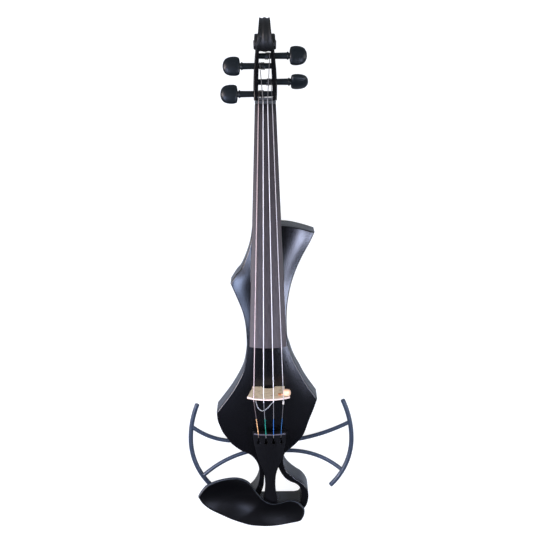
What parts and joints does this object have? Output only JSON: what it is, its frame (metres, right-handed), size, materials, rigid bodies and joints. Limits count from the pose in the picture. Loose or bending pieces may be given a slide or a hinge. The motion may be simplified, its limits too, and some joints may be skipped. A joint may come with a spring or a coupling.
{
  "type": "electric violin",
  "caption": "Electric violin with a slim solid body, open lower frame, bent tube wings, arched fingerboard, friction pegs, bridge with pickup, tailpiece and a wide chin rest.",
  "frame": {"origin": "on the flat back, under the middle of the bridge, on the middle line of the strings", "axes": "+Z out of the front towards the strings, +Y along the strings towards the scroll, +X towards the side of the highest string"},
  "size_m": [0.1959, 0.5775, 0.073],
  "materials": {
    "black_lacquer": "satin black lacquer",
    "chin_black": "satin black, smooth",
    "ebony": "matt, fine grain",
    "peg_wood": "satin black",
    "maple": "raw, fine grain",
    "bone": "smooth off-white",
    "steel": "polished",
    "grey_tube": "satin dark blue-grey paint",
    "black_plastic": "fine matt",
    "lead_sheath": "smooth light grey sheath",
    "pickup_ceramic": "smooth pale orange",
    "cork": "matt cork sheet",
    "green_board": "satin",
    "battery_shell": "smooth printed can, unmarked"
  },
  "bodies": {
    "instrument": {"body_core": "black_lacquer", "belly_plate": "black_lacquer", "neck": "black_lacquer", "chinrest": "chin_black", "fingerboard": "ebony", "saddle": "ebony", "end_button": "ebony", "bridge": "maple", "nut": "bone", "string_sleeve": "bone", "string_g": "steel", "string_d": "steel", "string_a": "steel", "string_e": "steel", "clamp_plate": "steel", "door_pin": "steel", "volume_pot": "steel", "tone_pot": "steel", "output_jack": "steel", "panel_screw_1": "steel", "panel_screw_2": "steel", "panel_screw_3": "steel", "panel_screw_4": "steel", "wing_left": "grey_tube", "wing_right": "grey_tube", "strut_left_upper": "grey_tube", "strut_left_lower": "grey_tube", "strut_right_upper": "grey_tube", "strut_right_lower": "grey_tube", "tailpiece": "black_plastic", "tailpiece_fret": "black_plastic", "tail_loop": "black_plastic", "control_panel": "black_plastic", "phones_jack": "black_plastic", "battery_clip": "black_plastic", "pickup_lead": "lead_sheath", "pickup_disc": "pickup_ceramic", "chinrest_cork_left": "cork", "chinrest_cork_right": "cork", "circuit_board": "green_board", "battery": "battery_shell"},
    "peg_g_body": {"peg_g": "peg_wood", "winding_g": "steel"},
    "peg_d_body": {"peg_d": "peg_wood", "winding_d": "steel"},
    "peg_a_body": {"peg_a": "peg_wood", "winding_a": "steel"},
    "peg_e_body": {"peg_e": "peg_wood", "winding_e": "steel"},
    "volume_body": {"volume_knob": "black_plastic"},
    "tone_body": {"tone_knob": "black_plastic"},
    "door_body": {"battery_door": "black_plastic"},
    "barrel_left_body": {"clamp_barrel_left": "steel"},
    "barrel_right_body": {"clamp_barrel_right": "steel"},
    "foot_body": {"clamp_foot": "steel"}
  },
  "joints": [
    {"name": "peg_g_turn", "type": "hinge", "parent": "instrument", "child": "peg_g_body", "pos_m": [0, 0.33431, 0.02886], "axis": [1, 0, 0], "continuous": true},
    {"name": "peg_d_turn", "type": "hinge", "parent": "instrument", "child": "peg_d_body", "pos_m": [0, 0.3638, 0.02541], "axis": [1, 0, 0], "continuous": true},
    {"name": "peg_a_turn", "type": "hinge", "parent": "instrument", "child": "peg_a_body", "pos_m": [0, 0.3743, 0.02418], "axis": [1, 0, 0], "continuous": true},
    {"name": "peg_e_turn", "type": "hinge", "parent": "instrument", "child": "peg_e_body", "pos_m": [0, 0.34689, 0.02739], "axis": [1, 0, 0], "continuous": true},
    {"name": "volume_turn", "type": "hinge", "parent": "instrument", "child": "volume_body", "pos_m": [-0.019, -0.0405, 0.003], "axis": [0, 0, -1], "range_deg": [-150, 150]},
    {"name": "tone_turn", "type": "hinge", "parent": "instrument", "child": "tone_body", "pos_m": [0, -0.0405, 0.003], "axis": [0, 0, -1], "range_deg": [-150, 150]},
    {"name": "battery_door_open", "type": "hinge", "parent": "instrument", "child": "door_body", "pos_m": [0, 0.07615, 0.0018], "axis": [1, 0, 0], "range_deg": [0, 90]},
    {"name": "clamp_left_turn", "type": "hinge", "parent": "instrument", "child": "barrel_left_body", "pos_m": [-0.0325, -0.15711, 0.0175], "axis": [0, 0, 1], "range_deg": [0, 1080]},
    {"name": "clamp_right_turn", "type": "hinge", "parent": "instrument", "child": "barrel_right_body", "pos_m": [-0.0135, -0.15711, 0.0175], "axis": [0, 0, 1], "range_deg": [0, 1080]},
    {"name": "clamp_foot_slide", "type": "slide", "parent": "instrument", "child": "foot_body", "axis": [0, 0, 1], "range_m": [-0.003, 0]}
  ],
  "couplings": [
    {"joint": "clamp_left_turn", "follows": "clamp_foot_slide", "rad_per_m": -6283.2},
    {"joint": "clamp_right_turn", "follows": "clamp_foot_slide", "rad_per_m": -6283.2}
  ]
}
